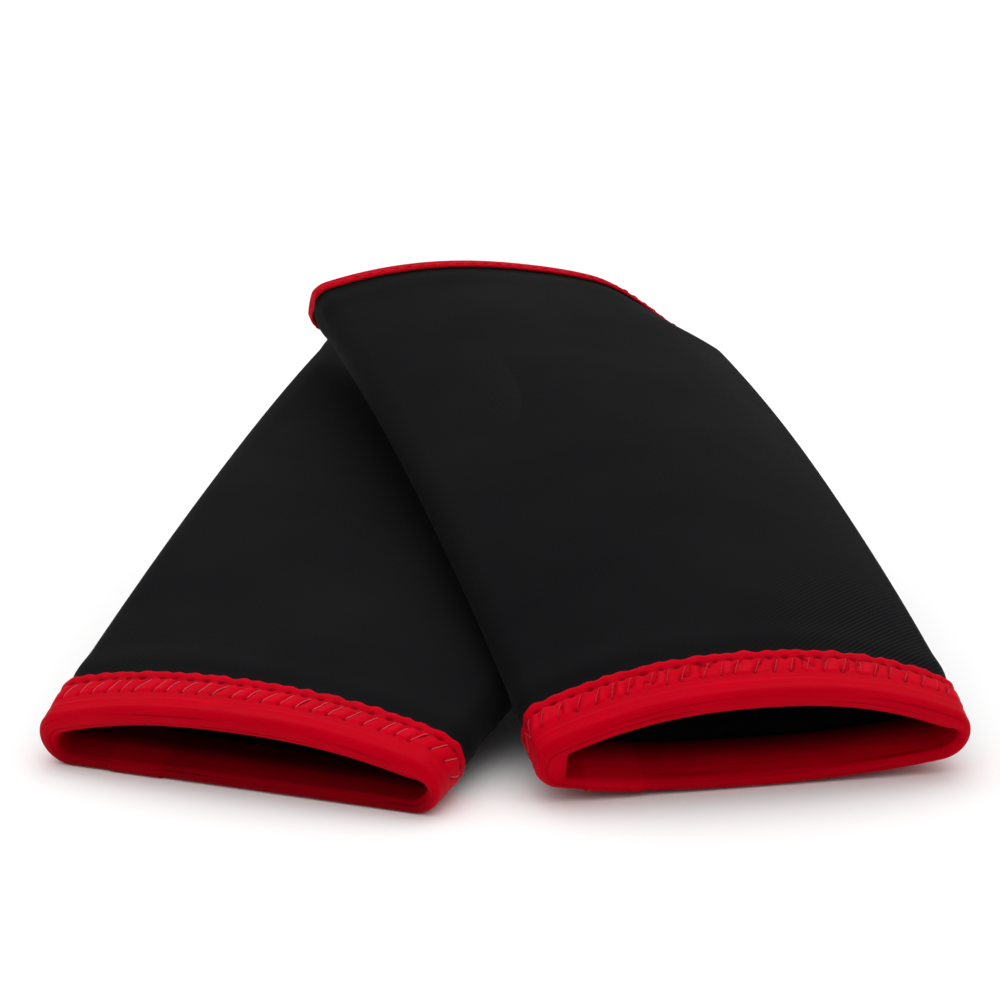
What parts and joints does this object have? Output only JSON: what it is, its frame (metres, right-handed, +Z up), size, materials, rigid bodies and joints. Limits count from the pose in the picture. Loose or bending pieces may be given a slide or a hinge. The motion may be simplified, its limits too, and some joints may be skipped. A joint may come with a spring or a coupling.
{
  "type": "elbow pad",
  "caption": "Pair of pre-bent neoprene elbow pads for striking sports, tapered open sleeves with bound ends, lying one across the other.",
  "frame": {"origin": "centre of the pair's box, on the plane that the pads lie on", "axes": "+Z up, forearm ends towards -Y, bicep ends towards +Y, +X to the right seen from the forearm ends"},
  "size_m": [0.2414, 0.2744, 0.1046],
  "materials": {
    "jersey_face": "matte nylon jersey, fine diagonal rib",
    "foam_rubber": "closed-cell chloroprene foam",
    "lining": "matte jersey lining",
    "cushion_foam": "soft foam cushion",
    "binding_tape": "red stretch knit tape, soft sheen",
    "binding_thread": "red sewing thread",
    "seam_thread": "black sewing thread"
  },
  "bodies": {
    "bottom_pad": {"bottom_face_fabric": "jersey_face", "bottom_foam_core": "foam_rubber", "bottom_lining_fabric": "lining", "bottom_elbow_cushion": "cushion_foam", "bottom_cushion_pocket": "lining", "bottom_forearm_binding": "binding_tape", "bottom_bicep_binding": "binding_tape", "bottom_forearm_thread": "binding_thread", "bottom_bicep_thread": "binding_thread", "bottom_seam_thread": "seam_thread", "bottom_seam_tape": "lining"},
    "top_pad": {"top_face_fabric": "jersey_face", "top_foam_core": "foam_rubber", "top_lining_fabric": "lining", "top_elbow_cushion": "cushion_foam", "top_cushion_pocket": "lining", "top_forearm_binding": "binding_tape", "top_bicep_binding": "binding_tape", "top_forearm_thread": "binding_thread", "top_bicep_thread": "binding_thread", "top_seam_thread": "seam_thread", "top_seam_tape": "lining"}
  },
  "joints": [
    {"name": "lift_top_pad", "type": "slide", "parent": "bottom_pad", "child": "top_pad", "axis": [0, 0, 1], "range_m": [0, 0.15]}
  ]
}
